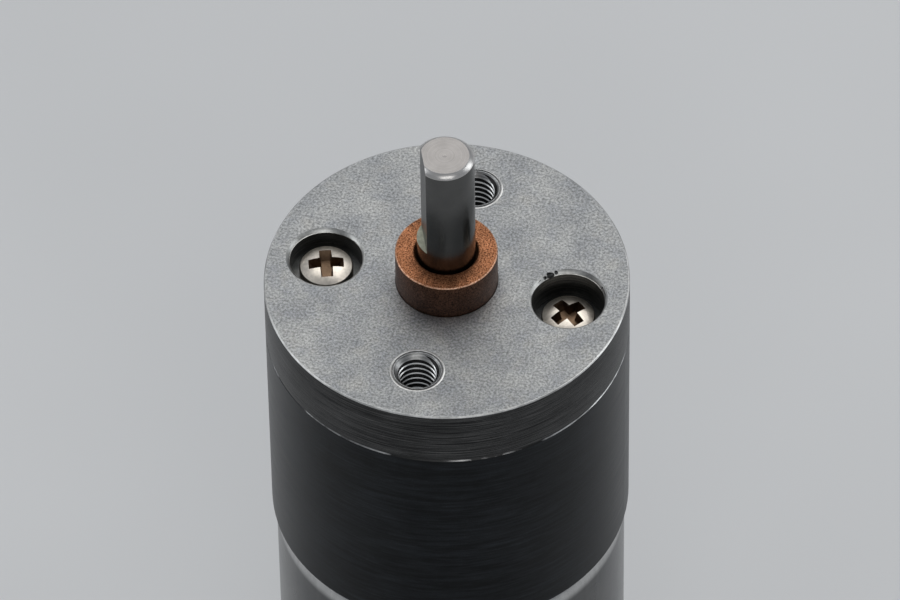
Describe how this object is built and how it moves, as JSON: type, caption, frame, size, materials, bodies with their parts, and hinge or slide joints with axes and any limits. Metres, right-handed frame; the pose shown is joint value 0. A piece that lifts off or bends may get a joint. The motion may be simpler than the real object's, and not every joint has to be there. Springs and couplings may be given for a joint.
{
  "type": "geared dc motor",
  "caption": "Cylindrical brushed dc motor with a spur gearbox, a centred D-shaft in a bronze boss, and a round front face with tapped mounting holes.",
  "frame": {"origin": "centre of the gearbox's front mounting face, on the output shaft's axis", "axes": "+Z along the output shaft towards its tip; the two tapped mounting holes lie on Y and the two cover screws on X"},
  "size_m": [0.025, 0.025, 0.0691],
  "materials": {
    "zinc_plate": "as cast, lightly ground",
    "zinc_housing": "dark turned",
    "sintered_bronze": "sintered, oiled",
    "screw_steel": "nickel plated",
    "shaft_steel": "ground",
    "pin_steel": "ground",
    "gear_steel": "hobbed, oiled",
    "gear_brass": "hobbed",
    "washer_brass": "stamped",
    "can_steel": "nickel plated",
    "magnet_ferrite": "ground ferrite",
    "spring_steel": "rolled",
    "core_steel": "stamped laminations",
    "insulator": "pressed fibre",
    "copper_wire": "enamelled",
    "commutator_resin": "moulded",
    "commutator_copper": "turned",
    "varistor": "fired",
    "nylon": "moulded",
    "cap_plastic": "moulded",
    "carbon": "pressed",
    "spring_brass": "rolled",
    "terminal_tin": "tinned"
  },
  "bodies": {
    "case": {"front_plate": "zinc_plate", "output_bush": "sintered_bronze", "cover_screws": "screw_steel", "gear_housing": "zinc_housing", "motor_screws": "screw_steel", "output_thrust_washer": "washer_brass", "gear_pin_a": "pin_steel", "gear_pin_b": "pin_steel", "pin_a_spacers": "washer_brass", "pin_b_spacers": "washer_brass", "motor_can": "can_steel", "front_motor_bush": "sintered_bronze", "magnet_left": "magnet_ferrite", "magnet_right": "magnet_ferrite", "magnet_springs": "spring_steel", "end_cap": "cap_plastic", "rear_motor_bush": "sintered_bronze", "brush_arm_left": "spring_brass", "brush_arm_right": "spring_brass", "brush_left": "carbon", "brush_right": "carbon", "terminal_left": "terminal_tin", "terminal_right": "terminal_tin"},
    "rotor": {"motor_shaft": "pin_steel", "motor_pinion": "gear_brass", "armature_core": "core_steel", "armature_insulators": "insulator", "armature_windings": "copper_wire", "commutator_hub": "commutator_resin", "commutator_segments": "commutator_copper", "varistor_ring": "varistor", "rotor_collars": "nylon"},
    "cluster_1": {"cluster_1_wheel": "gear_brass", "cluster_1_pinion": "gear_steel"},
    "cluster_2": {"cluster_2_wheel": "gear_steel", "cluster_2_pinion": "gear_steel"},
    "cluster_3": {"cluster_3_wheel": "gear_steel", "cluster_3_pinion": "gear_steel"},
    "cluster_4": {"cluster_4_wheel": "gear_steel", "cluster_4_pinion": "gear_steel"},
    "output": {"output_shaft": "shaft_steel", "output_gear": "gear_steel"}
  },
  "joints": [
    {"name": "rotor_spin", "type": "hinge", "parent": "case", "child": "rotor", "pos_m": [0, 0, 0], "axis": [0, 0, 1], "continuous": true},
    {"name": "cluster_1_spin", "type": "hinge", "parent": "case", "child": "cluster_1", "pos_m": [-0.00313, 0.00527, 0], "axis": [0, 0, 1], "continuous": true},
    {"name": "cluster_2_spin", "type": "hinge", "parent": "case", "child": "cluster_2", "pos_m": [0.00327, 0.0055, 0], "axis": [0, 0, 1], "continuous": true},
    {"name": "cluster_3_spin", "type": "hinge", "parent": "case", "child": "cluster_3", "pos_m": [-0.00313, 0.00527, 0], "axis": [0, 0, 1], "continuous": true},
    {"name": "cluster_4_spin", "type": "hinge", "parent": "case", "child": "cluster_4", "pos_m": [0.00327, 0.0055, 0], "axis": [0, 0, 1], "continuous": true},
    {"name": "output_spin", "type": "hinge", "parent": "case", "child": "output", "pos_m": [0, 0, 0], "axis": [0, 0, 1], "continuous": true}
  ],
  "couplings": [
    {"joint": "cluster_1_spin", "follows": "rotor_spin", "ratio": -0.52174},
    {"joint": "cluster_2_spin", "follows": "rotor_spin", "ratio": 0.23715},
    {"joint": "cluster_3_spin", "follows": "rotor_spin", "ratio": -0.1078},
    {"joint": "cluster_4_spin", "follows": "rotor_spin", "ratio": 0.048999},
    {"joint": "output_spin", "follows": "rotor_spin", "ratio": -0.029399}
  ]
}
